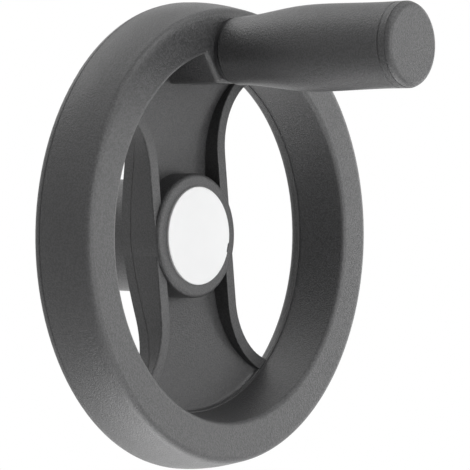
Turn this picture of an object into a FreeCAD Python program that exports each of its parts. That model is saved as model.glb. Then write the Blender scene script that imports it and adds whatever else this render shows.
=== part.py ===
import FreeCAD
import Part
import math
import os
from FreeCAD import Vector

# Machine handwheel with a hollow rim, two ribbed spokes and a revolving grip.
#
# Every piece is drawn with the wheel lying on its back: Z runs forward from the rear
# face of the hub, Y points up to the grip, and X to the right as seen from the front.
# At the end each piece is stood up: the shaft then lies along Y, the front looks
# towards -Y and the grip is on top. All sizes are in millimetres and degrees.

# Rim
wheel_diameter = 125.0
rim_depth = 17.1
rim_width = 15.3               # from the clear opening to the outside
rim_lean = 2.35                # how far the outside leans in, up to the front face
rim_face_width = 10.5          # the flat front face, from ridge to ridge
rim_wall = 3.0
rim_outer_round = 2.2
rim_inner_round = 1.3
rim_bulge_height = 5.0         # height above the seam where the outside starts to lean in
rim_bulge_round = 40.0
back_plate = 2.4
back_round = 1.8
back_draft = 0.5               # how far the plate's outside leans in, to the rear
inner_lip = 0.9                # rise of the back ring's inner edge above its plate
seam_groove = 0.35
ledge = 0.3                    # step between the back ring and the shell inside the wheel
weld_rib_height = 2.0
weld_rib_width = 1.4
weld_play = 0.1

# Spokes: two ribs on a dished web, an H in section
spoke_turn = 5.8               # lean of the spoke line, to the left at the top
spoke_waist = 32.8             # width over the ribs beside the hub
spoke_shoulder = 27.0          # how far inside the rim the ribs begin to flare
spoke_flare = 19.5             # radius of the ribs' outer faces where they flare to the rim
spoke_rib = 3.5
spoke_setback = 1.2            # rib front edges below the hub's front face
rib_into_rim = 3.0             # depth of rib that meets the rim, behind its front edge
front_channel_at_hub = 5.3     # depth of the web below the ribs' front edges
web_below_seam = 0.8           # front of the web at the rim, below the rim's seam
web_thickness = 2.0
spoke_depth_at_hub = 11.4
spoke_run_out = 2.6            # width over which the spoke's back dies out on the ring
web_round = 1.0
rib_round = 0.5
rib_inner_round = 0.3

# Hub
hub_height = 27.4
hub_diameter = 33.5
hub_rear_diameter = 30.4
hub_rear_draft = 0.4
hub_round = 1.2

# Steel bush moulded into the hub
bore_diameter = 12.0
bush_diameter = 23.0
bush_setback = 7.4             # front of the bush below the hub's front face
bush_chamfer = 0.5
bush_groove_width = 4.0
bush_groove_depth = 0.8
bush_flat_start = 2.0          # height at which the flats begin
bush_flat_depth = 0.9          # of each of the four flats that keep it from turning

# Cap over the screw chamber
cap_diameter = 26.4
cap_thickness = 1.8
cap_rise = 0.6                 # the cap stands this much proud of the hub
cap_play = 0.12
cap_edge_round = 0.3
cap_skirt_diameter = 21.9
cap_skirt_wall = 1.4
cap_skirt_length = 4.2
cap_bead = 0.25
cap_slot_width = 2.4
cap_slot_count = 4
chamber_play = 0.05
notch_angle = -16.0            # pry notch, from the right-hand side
notch_width = 2.6
notch_reach = 0.35             # how far it cuts into the hub
notch_bite = 0.6               # how far it cuts into the cap
notch_depth = 1.6

# Boss that carries the grip
grip_inset = 13.5              # grip's axis inside the wheel's largest radius
boss_overhang = 8.4            # from the grip's axis down to the boss's lower face
boss_half_width = 6.7
boss_flare = 0.68              # widening of each side for each millimetre up
boss_corner = 1.5
boss_core_wall = 2.0

# Threaded insert
thread_diameter = 8.0
thread_play = 0.05
insert_diameter = 12.0
insert_length = 12.0
insert_chamfer = 0.4
insert_groove_width = 1.6
insert_groove_depth = 0.6

# Spindle and washer
spindle_diameter = 10.0
thread_end_gap = 1.0
thread_relief_width = 1.6
thread_relief_depth = 0.7
spindle_head_diameter = 14.0
spindle_head_height = 5.0
spindle_chamfer = 0.5
socket_across_flats = 6.0
socket_depth = 3.0
washer_thickness = 0.8
washer_diameter = 17.0
washer_play = 0.1

# Revolving grip
grip_gap = 0.2                 # end play at the washer
head_gap = 0.3                 # end play under the spindle's head
running_play = 0.05            # radial, between spindle and sleeve
sleeve_length = 52.6
sleeve_base_diameter = 18.0
sleeve_waist_height = 10.3
sleeve_waist_diameter = 19.5
sleeve_swell_height = 20.6
sleeve_swell_diameter = 22.1
sleeve_belly_height = 34.3
sleeve_belly_diameter = 22.6
sleeve_mouth_diameter = 22.2
sleeve_base_round = 0.7
sleeve_chamber_diameter = 16.0
sleeve_chamber_depth = 15.6
end_cap_side = 2.1             # straight side of the end cap
end_cap_step = 0.12            # step between that side and the round
end_cap_round = 1.5
end_cap_skirt_length = 7.0
end_cap_skirt_wall = 1.4
end_cap_play = 0.05
end_cap_bead = 0.25
end_cap_bead_width = 1.2

# Heights and radii that follow from the sizes above
spoke_front = hub_height - spoke_setback
rim_back = spoke_front - rib_into_rim
rim_front_height = rim_back + rim_depth
seam_height = rim_back + back_plate
lip_height = seam_height + inner_lip
outer_radius = wheel_diameter / 2
face_outer_radius = outer_radius - rim_lean
face_inner_radius = face_outer_radius - rim_face_width
opening_radius = outer_radius - rim_width
shell_inner_radius = opening_radius + ledge
grip_radius_on_wheel = outer_radius - grip_inset
hub_radius = hub_diameter / 2
web_at_hub = spoke_front - front_channel_at_hub
web_at_rim = seam_height - web_below_seam
web_back_at_rim = web_at_rim - web_thickness
bush_length = hub_height - bush_setback
cap_front = hub_height + cap_rise
recess_floor = cap_front - cap_thickness
thread_length = insert_length - thread_end_gap
boss_core_radius = insert_diameter / 2 + boss_core_wall
washer_top = rim_front_height + washer_thickness
sleeve_base = washer_top + grip_gap
sleeve_mouth = sleeve_base + sleeve_length
sleeve_shoulder = sleeve_mouth - sleeve_chamber_depth
head_seat = sleeve_shoulder + head_gap


def section(radius, height):
    return Vector(radius, 0, height)


def plan(x, y):
    return Vector(x, y, 0)


def rounded_face(corners, place):
    """Flat face through the corners; a third value rounds that corner."""
    count = len(corners)
    points = [place(corner[0], corner[1]) for corner in corners]
    edges = []
    leave = []
    arrive = []
    for i in range(count):
        radius = corners[i][2] if len(corners[i]) > 2 else 0.0
        point = points[i]
        back = (points[i - 1] - point).normalize()
        ahead = (points[(i + 1) % count] - point).normalize()
        half = back.getAngle(ahead) / 2
        reach = radius / math.tan(half)
        start = point + back * reach
        end = point + ahead * reach
        arrive.append(start)
        leave.append(end)
        if radius > 0:
            inward = (back + ahead).normalize()
            middle = point + inward * (radius / math.sin(half) - radius)
            edges.append(Part.Arc(start, middle, end).toShape())
    for i in range(count):
        following = arrive[(i + 1) % count]
        if leave[i].distanceToPoint(following) > 1e-6:
            edges.append(Part.LineSegment(leave[i], following).toShape())
    return Part.Face(Part.Wire(Part.__sortEdges__(edges)))


def turned(corners):
    """Solid of revolution about Z from a section in radius and height."""
    return rounded_face(corners, section).revolve(Vector(), Vector(0, 0, 1), 360)


def ring_cutter(inner, outer, low, high):
    return turned([(inner, low), (outer, low), (outer, high), (inner, high)])


def cylinder(radius, low, high):
    return Part.makeCylinder(radius, high - low, Vector(0, 0, low))


def around(shape, count):
    """The shape repeated at even angles about Z."""
    copies = []
    for i in range(count):
        copy = shape.copy()
        copy.rotate(Vector(), Vector(0, 0, 1), i * 360.0 / count)
        copies.append(copy)
    return copies


def edges_at_height(shape, height):
    """Edges that lie wholly in the plane at that height."""
    found = []
    for edge in shape.Edges:
        box = edge.BoundBox
        if abs(box.ZMin - height) < 1e-4 and abs(box.ZMax - height) < 1e-4:
            found.append(edge)
    return found


def on_grip_axis(shape):
    return shape.translated(Vector(0, grip_radius_on_wheel, 0))


def side_window(margin):
    """Space beside the spokes on the right, taken back by margin from the ribs' outer faces."""
    edge = spoke_waist / 2 - margin
    end = opening_radius - spoke_shoulder + spoke_flare + margin
    bend = spoke_flare + margin
    corners = [(edge, -end, bend), (edge, end, bend), (wheel_diameter, end), (wheel_diameter, -end)]
    return rounded_face(corners, plan).extrude(Vector(0, 0, rim_front_height))


def both_sides(shape):
    return [shape, shape.mirror(Vector(), Vector(1, 0, 0))]


def make_bush():
    radius = bush_diameter / 2
    bore = bore_diameter / 2
    c = bush_chamfer
    bush = turned([
        (bore + c, 0), (radius - c, 0), (radius, c), (radius, bush_length - c),
        (radius - c, bush_length), (bore + c, bush_length), (bore, bush_length - c), (bore, c),
    ])
    middle = bush_length / 2
    bush = bush.cut(ring_cutter(radius - bush_groove_depth, radius + 1,
                                middle - bush_groove_width / 2, middle + bush_groove_width / 2))
    across = bush_diameter - 2 * bush_flat_depth
    square = Part.makeBox(across, across, bush_length - bush_flat_start,
                          Vector(-across / 2, -across / 2, bush_flat_start))
    round_end = cylinder(radius, 0, bush_flat_start)
    return bush.common(square.fuse(round_end))


def rib_front_edges(spokes, outer):
    """Long front edges of the ribs, on their outer or inner side, still untilted."""
    divide = spoke_waist / 2 - spoke_rib / 2
    found = []
    for edge in edges_at_height(spokes, spoke_front):
        nearest = min(abs(vertex.X) for vertex in edge.Vertexes)
        middle = edge.valueAt((edge.FirstParameter + edge.LastParameter) / 2)
        crosses = abs(middle.x) < nearest - spoke_rib / 10
        if not crosses and (nearest > divide) == outer and edge.Length > spoke_rib:
            found.append(edge)
    return found


def make_spokes():
    """Both spokes: ribs along the edges, with a web between that rises to the rim."""
    rear_at_hub = spoke_front - spoke_depth_at_hub
    run_out = opening_radius + spoke_run_out
    blank = turned([
        (0, rear_at_hub), (hub_radius, rear_at_hub), (opening_radius, web_back_at_rim),
        (run_out, rim_back), (run_out, spoke_front), (0, spoke_front),
    ])
    above_web = turned([
        (0, web_at_hub), (hub_radius, web_at_hub), (opening_radius, web_at_rim, web_round),
        (opening_radius, rim_front_height), (0, rim_front_height),
    ])
    below_web = turned([
        (0, 0), (opening_radius, 0), (opening_radius, web_back_at_rim),
        (hub_radius, web_at_hub - web_thickness), (0, web_at_hub - web_thickness),
    ])
    channel = cylinder(opening_radius, 0, rim_front_height)
    for window in both_sides(side_window(spoke_rib)):
        channel = channel.cut(window)
    spokes = blank.cut(channel.common(above_web)).cut(channel.common(below_web))
    for window in both_sides(side_window(0)):
        spokes = spokes.cut(window)
    spokes = spokes.makeFillet(rib_inner_round, rib_front_edges(spokes, False))
    spokes = spokes.makeFillet(rib_round, rib_front_edges(spokes, True))
    return spokes.rotate(Vector(), Vector(0, 0, 1), spoke_turn)


def make_back_ring():
    """Ring that closes the rim from behind, with two ribs that fit inside the shell."""
    rib_outer = outer_radius - rim_wall - weld_play
    rib_inner = shell_inner_radius + rim_wall + weld_play
    return turned([
        (opening_radius, rim_back, back_round), (outer_radius - back_draft, rim_back, back_round),
        (outer_radius, seam_height, seam_groove), (rib_outer, seam_height),
        (rib_outer, seam_height + weld_rib_height),
        (rib_outer - weld_rib_width, seam_height + weld_rib_height),
        (rib_outer - weld_rib_width, seam_height), (rib_inner + weld_rib_width, seam_height),
        (rib_inner + weld_rib_width, lip_height + weld_rib_height),
        (rib_inner, lip_height + weld_rib_height), (rib_inner, lip_height),
        (opening_radius, lip_height),
    ])


def make_hub():
    shoulder = spoke_front - spoke_depth_at_hub
    rear_radius = hub_rear_diameter / 2
    return turned([
        (0, 0), (rear_radius, 0, hub_round), (rear_radius + hub_rear_draft, shoulder),
        (hub_radius, shoulder + hub_rear_draft), (hub_radius, hub_height, hub_round),
        (0, hub_height),
    ])


def pry_notch(inner, floor):
    """Notch at the edge of the cap, from the radius inner out into the hub."""
    reach = cap_diameter / 2 + cap_play + notch_reach - inner
    notch = Part.makeBox(reach, notch_width, cap_front + 1 - floor, Vector(inner, -notch_width / 2, floor))
    return notch.rotate(Vector(), Vector(0, 0, 1), notch_angle)


def make_wheel_body(bush):
    """Hub, spokes and back ring in one moulding, with the bush's shape left in the hub."""
    body = make_back_ring().fuse([make_spokes(), make_hub()]).removeSplitter()
    chamber_radius = cap_skirt_diameter / 2 + chamber_play
    bead_height = recess_floor - cap_skirt_length + cap_bead
    hollow = turned([
        (0, bush_length), (chamber_radius, bush_length), (chamber_radius, recess_floor),
        (cap_diameter / 2 + cap_play, recess_floor), (cap_diameter / 2 + cap_play, hub_height + 1),
        (0, hub_height + 1),
    ])
    bead_groove = ring_cutter(chamber_radius - 1, chamber_radius + cap_bead,
                              bead_height - 2 * cap_bead, bead_height + 3 * cap_bead)
    notch = pry_notch(cap_diameter / 2 - 1, hub_height - notch_depth)
    bore = cylinder(bore_diameter / 2 + bush_chamfer, -1, bush_length + 1)
    core_seat = on_grip_axis(cylinder(boss_core_radius + weld_play, seam_height, rim_front_height))
    for cutter in (bush, hollow, bead_groove, notch, bore, core_seat):
        body = body.cut(cutter)
    return body


def make_cap():
    radius = cap_diameter / 2
    skirt = cap_skirt_diameter / 2
    skirt_end = recess_floor - cap_skirt_length
    cap = turned([
        (0, recess_floor), (skirt - cap_skirt_wall, recess_floor),
        (skirt - cap_skirt_wall, skirt_end), (skirt, skirt_end), (skirt + cap_bead, skirt_end + cap_bead),
        (skirt, skirt_end + 3 * cap_bead), (skirt, recess_floor), (radius, recess_floor),
        (radius, cap_front, cap_edge_round), (0, cap_front),
    ])
    slot = Part.makeBox(cap_diameter, cap_slot_width, cap_skirt_length,
                        Vector(0, -cap_slot_width / 2, skirt_end))
    for copy in around(slot, cap_slot_count):
        cap = cap.cut(copy)
    return cap.cut(pry_notch(radius - notch_bite, recess_floor))


def make_insert():
    """Threaded insert, sunk into the boss with its face flush."""
    radius = insert_diameter / 2
    hole = thread_diameter / 2 + thread_play
    c = insert_chamfer
    low = rim_front_height - insert_length
    insert = turned([
        (hole, low), (radius - c, low), (radius, low + c), (radius, rim_front_height),
        (hole, rim_front_height),
    ])
    for third in (1, 2):
        middle = low + insert_length * third / 3
        insert = insert.cut(ring_cutter(radius - insert_groove_depth, radius + 1,
                                        middle - insert_groove_width / 2,
                                        middle + insert_groove_width / 2))
    return on_grip_axis(insert)


def boss_half_width_at(y):
    return boss_half_width + boss_flare * (y - (grip_radius_on_wheel - boss_overhang))


def make_rim_shell(insert, wheel_body):
    """Hollow front of the rim, open at the back, with the boss that carries the grip."""
    face_inner = face_inner_radius
    face_outer = face_outer_radius
    lean = (face_inner - shell_inner_radius) / (rim_front_height - lip_height)
    cavity_top = rim_front_height - rim_wall
    cavity_inner_top = shell_inner_radius + rim_wall + lean * (cavity_top - lip_height)
    shell = turned([
        (outer_radius, seam_height, seam_groove),
        (outer_radius, seam_height + rim_bulge_height, rim_bulge_round),
        (face_outer, rim_front_height, rim_outer_round), (face_inner, rim_front_height),
        (shell_inner_radius, lip_height), (shell_inner_radius + rim_wall, lip_height),
        (cavity_inner_top, cavity_top, rim_outer_round - 1),
        (face_outer - rim_wall, cavity_top, rim_outer_round),
        (outer_radius - rim_wall, seam_height),
    ])
    low = grip_radius_on_wheel - boss_overhang
    high = (face_inner + cavity_inner_top) / 2
    corners = [
        (-boss_half_width, low, boss_corner), (boss_half_width, low, boss_corner),
        (boss_half_width_at(high), high), (-boss_half_width_at(high), high),
    ]
    boss = rounded_face(corners, plan).extrude(Vector(0, 0, rim_front_height - web_at_hub))
    boss.translate(Vector(0, 0, web_at_hub))
    behind_web = turned([
        (0, 0), (outer_radius, 0), (outer_radius, lip_height), (opening_radius, lip_height),
        (opening_radius, web_at_rim), (hub_radius, web_at_hub), (0, web_at_hub),
    ])
    boss = boss.cut(behind_web)
    core = on_grip_axis(cylinder(boss_core_radius, seam_height, rim_front_height))
    shell = shell.fuse(boss.fuse(core)).removeSplitter()
    ridge = []
    for edge in edges_at_height(shell, rim_front_height):
        if edge.BoundBox.DiagonalLength < face_inner * 3:
            middle = edge.valueAt((edge.FirstParameter + edge.LastParameter) / 2)
            if math.hypot(middle.x, middle.y) < face_inner + 0.5:
                ridge.append(edge)
    shell = shell.makeFillet(rim_inner_round, ridge)
    hole = on_grip_axis(cylinder(thread_diameter / 2, rim_front_height - insert_length, rim_front_height))
    return shell.cut(insert).cut(hole).cut(wheel_body)


def make_washer():
    return on_grip_axis(ring_cutter(spindle_diameter / 2 + washer_play, washer_diameter / 2,
                                    rim_front_height, washer_top))


def make_spindle():
    """Shouldered screw: thread in the boss, plain shank through the grip, socket head."""
    thread = thread_diameter / 2
    shank = spindle_diameter / 2
    head = spindle_head_diameter / 2
    end = rim_front_height - thread_length
    top = head_seat + spindle_head_height
    c = spindle_chamfer
    spindle = turned([
        (0, end), (thread - c, end), (thread, end + c),
        (thread, rim_front_height - thread_relief_width),
        (thread - thread_relief_depth, rim_front_height - thread_relief_width),
        (thread - thread_relief_depth, rim_front_height), (shank, rim_front_height),
        (shank, head_seat), (head, head_seat), (head, top - c), (head - c, top), (0, top),
    ])
    corner = socket_across_flats / 2 / math.cos(math.pi / 6)
    hexagon = [(corner * math.cos(i * math.pi / 3), corner * math.sin(i * math.pi / 3))
               for i in range(6)]
    socket = rounded_face(hexagon, plan).extrude(Vector(0, 0, socket_depth + 1))
    socket.translate(Vector(0, 0, top - socket_depth))
    return on_grip_axis(spindle.cut(socket))


def make_sleeve():
    """Barrel-shaped grip, bored for the spindle and hollow in front of its shoulder."""
    shape_points = [
        section(sleeve_base_diameter / 2, sleeve_base),
        section(sleeve_waist_diameter / 2, sleeve_base + sleeve_waist_height),
        section(sleeve_swell_diameter / 2, sleeve_base + sleeve_swell_height),
        section(sleeve_belly_diameter / 2, sleeve_base + sleeve_belly_height),
        section(sleeve_mouth_diameter / 2, sleeve_mouth),
    ]
    curve = Part.BSplineCurve()
    curve.interpolate(shape_points)
    edges = [
        curve.toShape(),
        Part.LineSegment(shape_points[-1], section(0, sleeve_mouth)).toShape(),
        Part.LineSegment(section(0, sleeve_mouth), section(0, sleeve_base)).toShape(),
        Part.LineSegment(section(0, sleeve_base), shape_points[0]).toShape(),
    ]
    sleeve = Part.Face(Part.Wire(edges)).revolve(Vector(), Vector(0, 0, 1), 360)
    sleeve = sleeve.makeFillet(sleeve_base_round, edges_at_height(sleeve, sleeve_base))
    sleeve = sleeve.makeChamfer(seam_groove, edges_at_height(sleeve, sleeve_mouth))
    chamber = sleeve_chamber_diameter / 2
    bead_middle = sleeve_mouth - end_cap_skirt_length + end_cap_bead_width
    sleeve = sleeve.cut(cylinder(spindle_diameter / 2 + running_play, sleeve_base - 1, sleeve_mouth))
    sleeve = sleeve.cut(cylinder(chamber, sleeve_shoulder, sleeve_mouth + 1))
    sleeve = sleeve.cut(ring_cutter(chamber - 1, chamber + end_cap_bead,
                                    bead_middle - end_cap_bead_width,
                                    bead_middle + end_cap_bead_width))
    return on_grip_axis(sleeve)


def make_end_cap():
    """Cap that snaps into the mouth of the grip and hides the spindle's head."""
    radius = sleeve_mouth_diameter / 2
    skirt = sleeve_chamber_diameter / 2 - end_cap_play
    inside = skirt - end_cap_skirt_wall
    low = sleeve_mouth - end_cap_skirt_length
    bead_middle = low + end_cap_bead_width
    shoulder = sleeve_mouth + end_cap_side
    top = shoulder + end_cap_round
    roof = top - end_cap_skirt_wall * 1.5
    return on_grip_axis(turned([
        (0, roof), (inside, roof), (inside, low), (skirt, low),
        (skirt, bead_middle - end_cap_bead_width / 2), (skirt + end_cap_bead, bead_middle),
        (skirt, bead_middle + end_cap_bead_width / 2), (skirt, sleeve_mouth),
        (radius, sleeve_mouth, seam_groove), (radius, shoulder), (radius - end_cap_step, shoulder),
        (radius - end_cap_step, top, end_cap_round), (0, top),
    ]))


def stand_up(shape):
    """From lying on its back to the shaft along Y and the grip on top."""
    standing = shape.copy()
    standing.rotate(Vector(), Vector(1, 0, 0), 90)
    return standing


hub_bush = make_bush()
wheel_body = make_wheel_body(hub_bush)
spindle_insert = make_insert()
pieces = {
    "wheel_body": wheel_body,
    "rim_shell": make_rim_shell(spindle_insert, wheel_body),
    "hub_bush": hub_bush,
    "hub_cap": make_cap(),
    "spindle_insert": spindle_insert,
    "thrust_washer": make_washer(),
    "grip_spindle": make_spindle(),
    "grip_sleeve": make_sleeve(),
    "grip_end_cap": make_end_cap(),
}

os.makedirs("parts", exist_ok=True)
for name, piece in pieces.items():
    stand_up(piece).exportStep("parts/" + name + ".step")
    box = stand_up(piece).BoundBox
    print(name, piece.ShapeType, len(piece.Solids), piece.isValid(), round(piece.Volume),
          [round(v, 2) for v in (box.XMin, box.XMax, box.YMin, box.YMax, box.ZMin, box.ZMax)])
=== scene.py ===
import math

import bpy
from mathutils import Matrix, Vector


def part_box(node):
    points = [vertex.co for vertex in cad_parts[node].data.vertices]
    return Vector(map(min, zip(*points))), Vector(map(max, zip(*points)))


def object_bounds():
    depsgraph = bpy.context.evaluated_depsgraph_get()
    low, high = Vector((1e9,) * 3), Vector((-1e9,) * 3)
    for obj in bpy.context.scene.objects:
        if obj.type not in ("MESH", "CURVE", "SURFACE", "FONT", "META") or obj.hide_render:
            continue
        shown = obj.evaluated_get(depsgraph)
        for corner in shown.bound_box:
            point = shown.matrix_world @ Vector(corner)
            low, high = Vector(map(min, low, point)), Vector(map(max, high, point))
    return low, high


# Looks of the machine handwheel: finishes of its pieces, the studio and the camera.
# Lengths are in metres, in the frame of the model: the shaft lies along Y, the front
# looks towards -Y and the grip is on top.

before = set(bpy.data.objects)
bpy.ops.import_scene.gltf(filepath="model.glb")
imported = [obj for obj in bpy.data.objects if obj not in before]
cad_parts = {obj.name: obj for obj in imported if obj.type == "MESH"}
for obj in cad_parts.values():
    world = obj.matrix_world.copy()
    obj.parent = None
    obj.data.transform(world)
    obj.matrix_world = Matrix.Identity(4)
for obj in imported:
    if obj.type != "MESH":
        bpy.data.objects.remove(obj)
cad_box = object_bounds()

MM = 0.001
IMAGE = 470                     # pixels, width and height of the photograph

# Camera, as fitted to the photograph's outlines
VIEW_AZIMUTH = -51.89           # degrees
VIEW_ELEVATION = 0.42
VIEW_ROLL = 0.17
WHEEL_TURN = 1.29               # the wheel in the photograph stands turned this much on its shaft
VIEW_DISTANCE = 0.7986
FOCAL_PIXELS = 2979.8
HUB_FRONT_PIXEL = (199.6, 235.7)   # where the middle of the hub's front lies in the photograph
SENSOR = 36.0                   # millimetres
CLIP_NEAR, CLIP_FAR = 0.01, 20.0

# Tones, linear
MOULDING_DARK = (0.033, 0.033, 0.034)
MOULDING_LIGHT = (0.061, 0.061, 0.0625)
CAP_GREY = (0.845, 0.848, 0.85)
CAP_GREY_LIGHT = (0.86, 0.862, 0.864)
WASHER_BLACK = (0.030, 0.030, 0.032)
BLACKED_STEEL = (0.055, 0.056, 0.060)
ZINC_STEEL = (0.56, 0.57, 0.59)
BRASS = (0.60, 0.44, 0.19)
FLOOR_WHITE = (0.9, 0.9, 0.9)
WHITE = (1.0, 1.0, 1.0)

# Moulded plastic: grain that varies tone and height, and broad clouds that vary the gloss
MOULDING_ROUGHNESS = 0.38
MOULDING_ROUGHNESS_SPREAD = 0.06
GRAIN_SIZE = 0.45 * MM
GRAIN_DEPTH = 0.16 * MM
GRAIN_TONES = (0.42, 0.58)      # noise values between which the tone goes from dark to light
CLOUD_SIZE = 14 * MM
CLOUD_DEPTH = 0.05 * MM
CLOUD_STRENGTH = 0.25

# Parting line of the mould, along the ribs' outer sides: a bumped groove, with painted shade darkening
# its bottom
HUB_RADIUS = 16.75 * MM
PARTING_HEIGHT = 18.0 * MM      # above the hub's rear face, at the hub
PARTING_SLOPE = 0.27            # its rise for each unit of radius
PARTING_WIDTH = 0.35 * MM
PARTING_DEPTH = 0.3 * MM
PARTING_PAINTED_SHADE = 0.35            # painted shade in its bottom: the tone there, against the tone beside it
SIDE_LIMIT = 0.3                # a side's normal has less than this along the shaft

# Smooth plastic of the cap and the washer
SMOOTH_CLOUD_SIZE = 6 * MM
SMOOTH_GRAIN_SIZE = 0.6 * MM
SMOOTH_GRAIN_DEPTH = 0.006 * MM
SMOOTH_GRAIN_STRENGTH = 0.6
SMOOTH_ROUGHNESS_SPREAD = (-0.04, 0.05)
CAP_ROUGHNESS = 0.42
WASHER_ROUGHNESS = 0.4

# Turned metal
MARK_SIZE = 0.25 * MM
MARK_STRETCH = (0.02, 1.0, 0.02)    # marks run round the shaft's direction
MARK_DEPTH = 0.01 * MM
MARK_STRENGTH = 0.8
MARK_ROUGHNESS_SPREAD = (-0.08, 0.12)
METAL_CLOUD_SIZE = 5 * MM
METAL_SHADE = 0.82              # darkest tone, against the lightest
STEEL_BLACK_ROUGHNESS = 0.38
BRIGHT_ROUGHNESS = 0.3

# Studio
FLOOR_SIZE = 12.0
FLOOR_DROP = 900 * MM
FLOOR_ROUGHNESS = 0.9
FLOOR_GLOW = 0.80               # what the camera sees of the floor beyond its own light
FLOOR_SHADE = 0.99
FLOOR_GRAIN_SIZE = 30 * MM
WORLD_SEEN, WORLD_FILL = 1.0, 0.22
LAMP_TARGET = (0.0, -0.03, 0.0)
LAMPS = {                       # name: place, width and height, power in watts
    "lamp_front": ((0.0, -2.0, 0.1), (1.0, 1.0), 18.0),
    "lamp_front_high": ((0.10, -0.60, 1.0), (0.7, 0.25), 3.8),
    "lamp_front_low": ((0.10, -0.60, -0.9), (0.7, 0.25), 2.4),
    "lamp_front_right": ((1.0, -1.2, 0.0), (0.6, 0.9), 3.0),
    "lamp_right": ((1.2, -0.2, 0.0), (0.6, 0.8), 2.6),
    "lamp_top_left": ((-0.9, 0.0, 0.8), (0.6, 0.6), 0.9),
    "lamp_back_top": ((0.0, 0.7, 0.9), (0.8, 0.6), 2.5),
    "lamp_below": ((0.0, -0.02, -0.30), (0.3, 0.2), 0.72),
}


def colour(value):
    return (*value, 1.0)


class Finish:
    """A node material that is built step by step round one Principled shader."""

    def __init__(self, name, roughness, metallic=0.0, specular=0.5):
        self.material = bpy.data.materials.new(name)
        self.material.use_nodes = True
        self.tree = self.material.node_tree
        self.shader = self.tree.nodes["Principled BSDF"]
        self.shader.inputs["Roughness"].default_value = roughness
        self.shader.inputs["Metallic"].default_value = metallic
        self.shader.inputs["Specular IOR Level"].default_value = specular
        self.coordinates = self.tree.nodes.new("ShaderNodeTexCoord").outputs["Object"]

    def node(self, kind, **inputs):
        made = self.tree.nodes.new(kind)
        for key, value in inputs.items():
            made.inputs[key.replace("_", " ")].default_value = value
        return made

    def link(self, output, node_input):
        self.tree.links.new(output, node_input)

    def noise(self, size, detail=2.0, roughness=0.5, stretch=None):
        made = self.node("ShaderNodeTexNoise", Scale=1.0 / size, Detail=detail, Roughness=roughness)
        if stretch is None:
            self.link(self.coordinates, made.inputs["Vector"])
        else:
            mapping = self.node("ShaderNodeMapping", Scale=stretch)
            self.link(self.coordinates, mapping.inputs["Vector"])
            self.link(mapping.outputs["Vector"], made.inputs["Vector"])
        return made.outputs["Fac"]

    def maths(self, operation, *values):
        made = self.node("ShaderNodeMath")
        made.operation = operation
        for value, place in zip(values, made.inputs):
            if isinstance(value, (int, float)):
                place.default_value = value
            else:
                self.link(value, place)
        return made.outputs["Value"]

    def scaled(self, value, low, high, top=1.0):
        """low to high, as value goes from 0 to top; constant beyond them."""
        made = self.node("ShaderNodeMapRange", From_Max=top, To_Min=low, To_Max=high)
        self.link(value, made.inputs["Value"])
        return made.outputs["Result"]

    def parts(self, vector):
        """X, Y and Z of a vector."""
        split = self.node("ShaderNodeSeparateXYZ")
        self.link(vector, split.inputs["Vector"])
        return split.outputs["X"], split.outputs["Y"], split.outputs["Z"]

    def tones(self, value, dark, light, span=(0.3, 0.7), painted_shade=None):
        """Base colour from dark to light by value; painted shade darkens it where the shade factor is
        below 1.
        """
        ramp = self.node("ShaderNodeValToRGB")
        for element, place, tone in zip(ramp.color_ramp.elements, span, (dark, light)):
            element.position = place
            element.color = colour(tone)
        self.link(value, ramp.inputs["Fac"])
        tone = ramp.outputs["Color"]
        if painted_shade is not None:
            darkened_by_painted_shade = self.node("ShaderNodeVectorMath")
            darkened_by_painted_shade.operation = "SCALE"
            self.link(tone, darkened_by_painted_shade.inputs[0])
            self.link(painted_shade, darkened_by_painted_shade.inputs["Scale"])
            tone = darkened_by_painted_shade.outputs["Vector"]
        self.link(tone, self.shader.inputs["Base Color"])

    def roughen(self, value, low, high):
        self.link(self.scaled(value, low, high), self.shader.inputs["Roughness"])

    def bump(self, heights):
        """heights is a list of (value, depth in metres, strength)."""
        normal = None
        for value, depth, strength in heights:
            made = self.node("ShaderNodeBump", Distance=depth, Strength=strength)
            self.link(value, made.inputs["Height"])
            if normal is not None:
                self.link(normal, made.inputs["Normal"])
            normal = made.outputs["Normal"]
        self.link(normal, self.shader.inputs["Normal"])


def parting_line(finish):
    """0 on the mould's parting line along the ribs' outer sides, rising to 1 beside it."""
    x, y, z = finish.parts(finish.coordinates)
    across = finish.maths("POWER", x, 2.0)
    upward = finish.maths("POWER", z, 2.0)
    radius = finish.maths("SQRT", finish.maths("ADD", across, upward))
    height_on_axis = PARTING_HEIGHT - PARTING_SLOPE * HUB_RADIUS
    height = finish.maths("MULTIPLY_ADD", radius, PARTING_SLOPE, height_on_axis)
    off_line = finish.maths("ABSOLUTE", finish.maths("ADD", height, y))
    beside = finish.scaled(off_line, 0.0, 1.0, top=PARTING_WIDTH)
    facing = finish.parts(finish.node("ShaderNodeTexCoord").outputs["Normal"])[1]
    not_a_side = finish.maths("GREATER_THAN", finish.maths("ABSOLUTE", facing), SIDE_LIMIT)
    return finish.maths("MAXIMUM", beside, not_a_side)


def moulded_plastic(name, parted_with_painted_shade=False):
    """Glass-filled plastic with the fine even grain of a spark-eroded mould."""
    finish = Finish(name, MOULDING_ROUGHNESS)
    grain = finish.noise(GRAIN_SIZE, detail=3.0, roughness=0.6)
    clouds = finish.noise(CLOUD_SIZE, detail=3.0)
    heights = [(clouds, CLOUD_DEPTH, CLOUD_STRENGTH), (grain, GRAIN_DEPTH, 1.0)]
    painted_shade = None
    if parted_with_painted_shade:
        # The parting line gets a bumped groove, and its bottom's colour is darkened as painted shade.
        beside = parting_line(finish)
        painted_shade = finish.scaled(beside, PARTING_PAINTED_SHADE, 1.0)
        heights.append((beside, PARTING_DEPTH, 1.0))
    finish.tones(grain, MOULDING_DARK, MOULDING_LIGHT, GRAIN_TONES, painted_shade)
    finish.roughen(clouds, MOULDING_ROUGHNESS - MOULDING_ROUGHNESS_SPREAD,
                   MOULDING_ROUGHNESS + MOULDING_ROUGHNESS_SPREAD)
    finish.bump(heights)
    return finish.material


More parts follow.
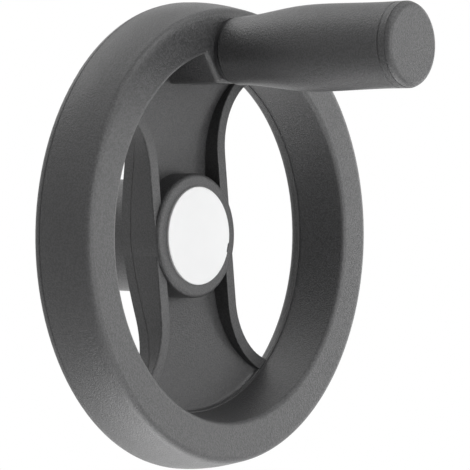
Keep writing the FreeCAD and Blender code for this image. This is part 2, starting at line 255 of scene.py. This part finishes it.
def smooth_plastic(name, dark, light, roughness):
    """Plastic from a polished mould, nearly even."""
    finish = Finish(name, roughness)
    clouds = finish.noise(SMOOTH_CLOUD_SIZE)
    grain = finish.noise(SMOOTH_GRAIN_SIZE)
    finish.tones(clouds, dark, light)
    finish.roughen(grain, *(roughness + change for change in SMOOTH_ROUGHNESS_SPREAD))
    finish.bump([(grain, SMOOTH_GRAIN_DEPTH, SMOOTH_GRAIN_STRENGTH)])
    return finish.material


def turned_metal(name, tone, roughness):
    """Turned metal, with fine marks round the shaft's direction."""
    finish = Finish(name, roughness, metallic=1.0)
    marks = finish.noise(MARK_SIZE, detail=3.0, stretch=MARK_STRETCH)
    clouds = finish.noise(METAL_CLOUD_SIZE)
    finish.tones(clouds, tuple(part * METAL_SHADE for part in tone), tone)
    finish.roughen(marks, *(roughness + change for change in MARK_ROUGHNESS_SPREAD))
    finish.bump([(marks, MARK_DEPTH, MARK_STRENGTH)])
    return finish.material


def dress(node, material):
    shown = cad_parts[node]
    shown.data.materials.clear()
    shown.data.materials.append(material)


def background_rays(tree):
    """1 for the rays by which the background is seen: straight, in a gloss or through glass."""
    path = tree.nodes.new("ShaderNodeLightPath")
    seen = path.outputs["Is Camera Ray"]
    for name in ("Is Glossy Ray", "Is Transmission Ray"):
        either = tree.nodes.new("ShaderNodeMath")
        either.operation = "MAXIMUM"
        tree.links.new(seen, either.inputs[0])
        tree.links.new(path.outputs[name], either.inputs[1])
        seen = either.outputs["Value"]
    return seen


def add_floor(size, height):
    """Level white floor, which keeps the object's shadow."""
    mesh = bpy.data.meshes.new("studio_floor")
    half = size / 2
    corners = [(-half, -half, height), (half, -half, height), (half, half, height), (-half, half, height)]
    mesh.from_pydata(corners, [], [(0, 1, 2, 3)])
    floor = bpy.data.objects.new("studio_floor", mesh)
    bpy.context.scene.collection.objects.link(floor)
    finish = Finish("floor_white", FLOOR_ROUGHNESS, specular=0.0)
    grain = finish.noise(FLOOR_GRAIN_SIZE)
    finish.tones(grain, tuple(part * FLOOR_SHADE for part in FLOOR_WHITE), FLOOR_WHITE)
    glow = finish.scaled(background_rays(finish.tree), 0.0, FLOOR_GLOW)
    finish.shader.inputs["Emission Color"].default_value = colour(WHITE)
    finish.link(glow, finish.shader.inputs["Emission Strength"])
    mesh.materials.append(finish.material)


def add_lamp(name, place, size, power):
    data = bpy.data.lights.new(name, "AREA")
    data.shape = "RECTANGLE"
    data.size, data.size_y = size
    data.energy = power
    lamp = bpy.data.objects.new(name, data)
    lamp.location = place
    lamp.rotation_mode = "QUATERNION"
    lamp.rotation_quaternion = (Vector(LAMP_TARGET) - Vector(place)).to_track_quat("-Z", "Y")
    lamp.visible_camera = False
    bpy.context.scene.collection.objects.link(lamp)


def add_world(seen, fill):
    """Background that the camera and reflections see, and the weaker light that it gives."""
    world = bpy.data.worlds.new("studio")
    world.use_nodes = True
    tree = world.node_tree
    background = tree.nodes["Background"]
    background.inputs["Color"].default_value = colour(WHITE)
    strength = tree.nodes.new("ShaderNodeMapRange")
    strength.inputs["To Min"].default_value = fill
    strength.inputs["To Max"].default_value = seen
    tree.links.new(background_rays(tree), strength.inputs["Value"])
    tree.links.new(strength.outputs["Result"], background.inputs["Strength"])
    bpy.context.scene.world = world


def add_camera():
    """Camera that sees the wheel as the photograph does; the wheel's own turn is in it too."""
    azimuth, elevation = math.radians(VIEW_AZIMUTH), math.radians(VIEW_ELEVATION)
    flat = math.cos(elevation)
    back = Vector((math.sin(azimuth) * flat, -math.cos(azimuth) * flat, math.sin(elevation)))
    right = Vector((math.cos(azimuth), math.sin(azimuth), 0.0))
    up = back.cross(right)
    turn = Matrix.Rotation(math.radians(WHEEL_TURN), 4, "Y")
    stand = Matrix((right, up, back)).transposed().to_4x4()
    front = Vector((0.0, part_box("hub_cap")[0][1], 0.0))
    data = bpy.data.cameras.new("camera")
    data.sensor_width = SENSOR
    data.lens = SENSOR * FOCAL_PIXELS / IMAGE
    data.shift_x = 0.5 - HUB_FRONT_PIXEL[0] / IMAGE
    data.shift_y = HUB_FRONT_PIXEL[1] / IMAGE - 0.5
    data.clip_start = CLIP_NEAR
    data.clip_end = CLIP_FAR
    camera = bpy.data.objects.new("camera", data)
    spin = turn @ stand @ Matrix.Rotation(math.radians(VIEW_ROLL), 4, "Z")
    camera.matrix_world = Matrix.Translation(front + turn @ back * VIEW_DISTANCE) @ spin
    bpy.context.scene.collection.objects.link(camera)
    bpy.context.scene.camera = camera


moulding = moulded_plastic("moulded_black_grey")
for node in ("rim_shell", "grip_sleeve", "grip_end_cap"):
    dress(node, moulding)
dress("wheel_body", moulded_plastic("moulded_parted_painted_shade", parted_with_painted_shade=True))
dress("hub_cap", smooth_plastic("cap_light_grey", CAP_GREY, CAP_GREY_LIGHT, CAP_ROUGHNESS))
dress("thrust_washer", smooth_plastic("washer_black", WASHER_BLACK, WASHER_BLACK, WASHER_ROUGHNESS))
dress("hub_bush", turned_metal("blacked_steel", BLACKED_STEEL, STEEL_BLACK_ROUGHNESS))
dress("grip_spindle", turned_metal("zinc_steel", ZINC_STEEL, BRIGHT_ROUGHNESS))
dress("spindle_insert", turned_metal("insert_brass", BRASS, BRIGHT_ROUGHNESS))

add_floor(FLOOR_SIZE, cad_box[0][2] - FLOOR_DROP)
for lamp_name, lamp_values in LAMPS.items():
    add_lamp(lamp_name, *lamp_values)
add_world(WORLD_SEEN, WORLD_FILL)
add_camera()

bpy.context.scene.view_settings.view_transform = "Standard"
